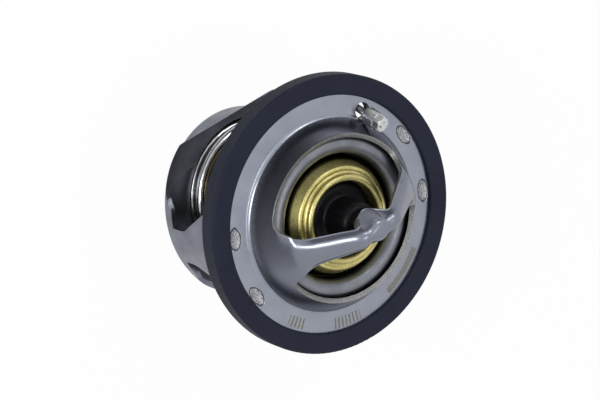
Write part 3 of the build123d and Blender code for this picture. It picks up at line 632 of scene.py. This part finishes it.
# Main spring: round steel wire wound with its lower coils nearly touching and both ends ground flat.
# It stands in the stirrup's cup and presses the valve plate shut.
SPRING_LOW, SPRING_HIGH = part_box("main_spring")
WIRE = 0.0012
SPRING_MEAN = SPRING_HIGH.x - WIRE
CLOSED_PITCH = 0.00275
CLOSED_TURNS = 2.5
OPEN_TURNS = 5.0
END_GRIND = 0.0005
START_ANGLE = math.radians(60)
POINTS_A_TURN = 40
COIL_SMOOTH = math.radians(50)
coil_low = SPRING_LOW.z + WIRE - END_GRIND
coil_high = SPRING_HIGH.z - WIRE + END_GRIND
closed_rise = CLOSED_PITCH * CLOSED_TURNS
open_pitch = (coil_high - coil_low - closed_rise) / OPEN_TURNS
wire_curve = bpy.data.curves.new("main_spring_wire", "CURVE")
wire_curve.dimensions = "3D"
wire_curve.bevel_depth = WIRE
wire_curve.bevel_resolution = 6
wire_curve.use_fill_caps = True
coil = wire_curve.splines.new("POLY")
count = int((CLOSED_TURNS + OPEN_TURNS) * POINTS_A_TURN)
coil.points.add(count)
for k, point in enumerate(coil.points):
    turns = k / POINTS_A_TURN
    rise = turns * CLOSED_PITCH + max(0.0, turns - CLOSED_TURNS) * (open_pitch - CLOSED_PITCH)
    angle = START_ANGLE + turns * 2 * math.pi
    point.co = (SPRING_MEAN * math.cos(angle), SPRING_MEAN * math.sin(angle), coil_low + rise, 1)
spring = bpy.data.objects.new("main_spring_coils", wire_curve)
bpy.context.scene.collection.objects.link(spring)
select_only(spring)
bpy.ops.object.convert(target="MESH")
spring = bpy.context.object
bpy.ops.object.mode_set(mode="EDIT")
bpy.ops.mesh.select_all(action="SELECT")
bpy.ops.mesh.bisect(plane_co=(0, 0, SPRING_LOW.z), plane_no=(0, 0, 1), use_fill=True, clear_inner=True)
bpy.ops.mesh.select_all(action="SELECT")
bpy.ops.mesh.bisect(plane_co=(0, 0, SPRING_HIGH.z), plane_no=(0, 0, 1), use_fill=True, clear_outer=True)
bpy.ops.object.mode_set(mode="OBJECT")
bpy.ops.object.shade_smooth_by_angle(angle=COIL_SMOOTH)
spring_steel = mottled_finish(
    "spring_steel_finish", scale=900.0, detail=3.0, dark=(0.4, 0.4, 0.41), light=(0.52, 0.52, 0.53),
    rough=(0.12, 0.22), bump=(0.06, 0.00005), metallic=1.0)
give_finishes(spring, spring_steel)
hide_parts("main_spring")
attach(spring, "frame")
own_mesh(spring)


# Valve plate: brass pressed to a cone with a ridge, a groove and a rolled rim round the element.
# The element's guide carries it, and like the seat it has painted shade: it goes dark low down, in the gap
# under the seat's lip.
BRASS_DARK, BRASS_LIGHT = (0.42, 0.375, 0.14), (0.56, 0.5, 0.22)
PIT_TONE, DEEP_SHADE_TONE = (0.12, 0.1, 0.03, 1), (0.02, 0.018, 0.01, 1)
BRASS_SHADE_HIGH = SHADE_HIGH + 0.0006
valve_brass, tree, shader, place = new_material("valve_brass_finish")
cloud = node(tree, "TexNoise", {"Vector": place, "Scale": 260.0, "Detail": 5.0})
pits = node(tree, "TexNoise", {"Vector": place, "Scale": 3000.0, "Detail": 3.0, "Roughness": 0.6})
tone = two_tones(tree, cloud.outputs[0], 0.32, 0.7, BRASS_DARK, BRASS_LIGHT)
tone = mixed_colour(tree, scaled(tree, pits.outputs[0], 0.36, 0.5, 0.5, 0.0), tone, PIT_TONE)
# Painted shade: the brass falls to a near-black tone low down, under the seat's lip.
tone = shaded_low(tree, place, tone, BRASS_SHADE_HIGH, DEEP_SHADE_TONE)
tree.links.new(tone, shader.inputs["Base Color"])
tree.links.new(scaled(tree, pits.outputs[0], *NOISE_SPAN, 0.32, 0.44), shader.inputs["Roughness"])
shader.inputs["Metallic"].default_value = 1.0
bumped(tree, shader, pits.outputs[0], 0.25, 0.00008)
dress("valve_plate", valve_brass)


# Wax element: turned brass guide and drawn brass cup crimped over it, sliding in the stirrup's collar.
# The guide has the bore for the piston, and the cup holds the wax.
element_brass = mottled_finish(
    "element_brass_finish", scale=300.0, detail=4.0, dark=(0.44, 0.36, 0.15), light=(0.56, 0.47, 0.22),
    rough=(0.24, 0.36), bump=(0.05, 0.0001), metallic=1.0)
dress("element_guide", element_brass)
dress("element_case", element_brass)


# Piston boot, diaphragm and plug: moulded black rubber. The boot's lip wipes the piston.
# The diaphragm seals the wax in, and the plug passes its push on to the piston.
boot_rubber = mottled_finish(
    "boot_rubber_finish", scale=1500.0, detail=3.0, dark=(0.0022, 0.0022, 0.0032),
    light=(0.0045, 0.0045, 0.006), rough=(0.34, 0.48), bump=(0.1, 0.00006), specular=0.12)
for name in ("piston_boot", "diaphragm", "rubber_plug"):
    dress(name, boot_rubber)


# Piston and vent pin: ground and turned steel. The piston is fixed in the bridge's socket.
# The vent pin hangs loose in the flange, held by its head and by the barrel crimped on its outer end.
pin_steel = mottled_finish(
    "pin_steel_finish", scale=1200.0, detail=3.0, dark=(0.5, 0.505, 0.515), light=(0.62, 0.625, 0.63),
    rough=(0.3, 0.36), bump=(0.01, 0.00004), metallic=1.0)
for name in ("piston", "vent_pin", "vent_pin_barrel"):
    dress(name, pin_steel)


# Backup disc, fluid and wax inside the sealed element, which nothing shows.
# The disc is white plastic, and the wax is a brown pellet under the diaphragm.
white_plastic = mottled_finish(
    "white_plastic_finish", scale=800.0, detail=2.0, dark=(0.7, 0.7, 0.68), light=(0.8, 0.8, 0.78))
dress("backup_disc", white_plastic)
wax_finish = mottled_finish(
    "wax_finish", scale=500.0, detail=2.0, dark=(0.52, 0.3, 0.16), light=(0.66, 0.4, 0.22))
dress("wax_pellet", wax_finish)
dress("transfer_fluid", wax_finish)


# Stage: a pale floor under the element's foot and a white world.
# The camera and reflections see both as white, apart from how much light they give the part.
FLOOR_GAP = 0.0002
FLOOR_Z = cad_low.z - FLOOR_GAP
FLOOR_SIZE = 6
FLOOR_PAINT = (0.86, 0.86, 0.86, 1)
WHITE = (1, 1, 1, 1)
WHITE_SHARE = 0.96
WORLD_LIGHT = 0.55


def seen_rays(tree):
    """1 where the camera sees a thing, straight or in and through shiny pieces; 0 where it only lights."""
    ray = tree.nodes.new("ShaderNodeLightPath")
    seen = maths(tree, "MAXIMUM", ray.outputs["Is Camera Ray"], ray.outputs["Is Glossy Ray"])
    return maths(tree, "MAXIMUM", seen, ray.outputs["Is Transmission Ray"])


bpy.ops.object.select_all(action="DESELECT")
bpy.ops.mesh.primitive_plane_add(size=FLOOR_SIZE, location=(0, 0, 0))
floor = bpy.context.object
floor.name = "floor"
for vertex in floor.data.vertices:
    vertex.co.z = FLOOR_Z
floor_paint = bpy.data.materials.new("floor_paint")
floor_paint.use_nodes = True
tree = floor_paint.node_tree
tree.nodes.clear()
paint = node(tree, "BsdfDiffuse", {"Color": FLOOR_PAINT})
glow = node(tree, "Emission", {"Color": WHITE, "Strength": 1.0})
share = maths(tree, "MULTIPLY", seen_rays(tree), WHITE_SHARE)
mixed = node(tree, "MixShader", {0: share, 1: paint.outputs[0], 2: glow.outputs[0]})
output = tree.nodes.new("ShaderNodeOutputMaterial")
tree.links.new(mixed.outputs[0], output.inputs["Surface"])
give_finishes(floor, floor_paint)

world = bpy.data.worlds.new("studio")
bpy.context.scene.world = world
world.use_nodes = True
tree = world.node_tree
tree.nodes.clear()
strength = scaled(tree, seen_rays(tree), 0.0, 1.0, WORLD_LIGHT, 1.0)
backdrop = node(tree, "Background", {"Color": WHITE, "Strength": strength})
output = tree.nodes.new("ShaderNodeOutputWorld")
tree.links.new(backdrop.outputs[0], output.inputs["Surface"])


# Camera at the photograph's viewing angle.
CAMERA_PLACE = Vector((0.228579, -0.214084, 0.424453))
CAMERA_RIGHT = Vector((-0.766801, 0.317765, 0.557712))
CAMERA_UP = Vector((-0.479610, -0.861093, -0.168797))
CAMERA_BACK = Vector((0.426604, -0.396918, 0.812690))
lens = bpy.data.cameras.new("camera")
lens.lens = 150
lens.sensor_width = 36
lens.clip_start = 0.01
lens.clip_end = 20
camera = bpy.data.objects.new("camera", lens)
bpy.context.scene.collection.objects.link(camera)
camera.matrix_world = Matrix((
    (CAMERA_RIGHT.x, CAMERA_UP.x, CAMERA_BACK.x, CAMERA_PLACE.x),
    (CAMERA_RIGHT.y, CAMERA_UP.y, CAMERA_BACK.y, CAMERA_PLACE.y),
    (CAMERA_RIGHT.z, CAMERA_UP.z, CAMERA_BACK.z, CAMERA_PLACE.z),
    (0, 0, 0, 1)))
bpy.context.scene.camera = camera


# Lamps: three soft boxes round the part, placed by the angles they are seen from.
LAMP_DISTANCE = 0.5


def seen_from(azimuth, elevation):
    """Direction from the part at those angles, in degrees; azimuth 0 is +X and 90 is +Y."""
    turn, rise = math.radians(azimuth), math.radians(elevation)
    return Vector((math.cos(turn) * math.cos(rise), math.sin(turn) * math.cos(rise), math.sin(rise)))


def softbox(name, azimuth, elevation, width, height, power):
    """Rectangular lamp that faces the part from those angles."""
    light = bpy.data.lights.new(name, "AREA")
    light.shape = "RECTANGLE"
    light.size = width
    light.size_y = height
    light.energy = power
    lamp = bpy.data.objects.new(name, light)
    bpy.context.scene.collection.objects.link(lamp)
    direction = seen_from(azimuth, elevation)
    lamp.rotation_mode = "QUATERNION"
    lamp.rotation_quaternion = direction.to_track_quat("Z", "Y")
    lamp.location = direction * LAMP_DISTANCE


softbox("front_softbox", azimuth=-30, elevation=35, width=0.2, height=0.15, power=1.15)
softbox("side_softbox", azimuth=-125, elevation=42, width=0.16, height=0.1, power=0.4)
softbox("top_softbox", azimuth=137, elevation=82, width=0.13, height=0.13, power=0.3)

# A dark flag stands beside the part, which only reflections see: it gives the bright metal its dark sides.
# Its top edge slopes down to the floor past +X, so that the dark fades out round the bridge's foot.
FLAG_RADIUS = 0.4
FLAG_TOP = 0.105
FLAG_LIFT, FLAG_END_LIFT = 0.002, 0.004
FLAG_STEPS = 96
FLAG_FROM, FLAG_TO = math.radians(-140), math.radians(38)
FLAG_SLOPE_FROM = math.radians(-45)
bpy.ops.object.select_all(action="DESELECT")
bpy.ops.mesh.primitive_grid_add(x_subdivisions=FLAG_STEPS, y_subdivisions=1, size=2)
flag = bpy.context.object
flag.name = "flag"
for vertex in flag.data.vertices:
    turn = FLAG_FROM + (vertex.co.x + 1) / 2 * (FLAG_TO - FLAG_FROM)
    fall = max(0.0, (turn - FLAG_SLOPE_FROM) / (FLAG_TO - FLAG_SLOPE_FROM))
    top = FLAG_TOP + (FLOOR_Z + FLAG_END_LIFT - FLAG_TOP) * fall
    vertex.co = Vector((FLAG_RADIUS * math.cos(turn), FLAG_RADIUS * math.sin(turn),
                        top if vertex.co.y > 0 else FLOOR_Z + FLAG_LIFT))
flag_cloth = bpy.data.materials.new("flag_cloth")
flag_cloth.use_nodes = True
flag_shader = flag_cloth.node_tree.nodes["Principled BSDF"]
flag_shader.inputs["Base Color"].default_value = (0.03, 0.03, 0.035, 1)
flag_shader.inputs["Roughness"].default_value = 1.0
give_finishes(flag, flag_cloth)
flag.visible_camera = False
flag.visible_diffuse = False
flag.visible_shadow = False

bpy.context.scene.view_settings.view_transform = "Standard"
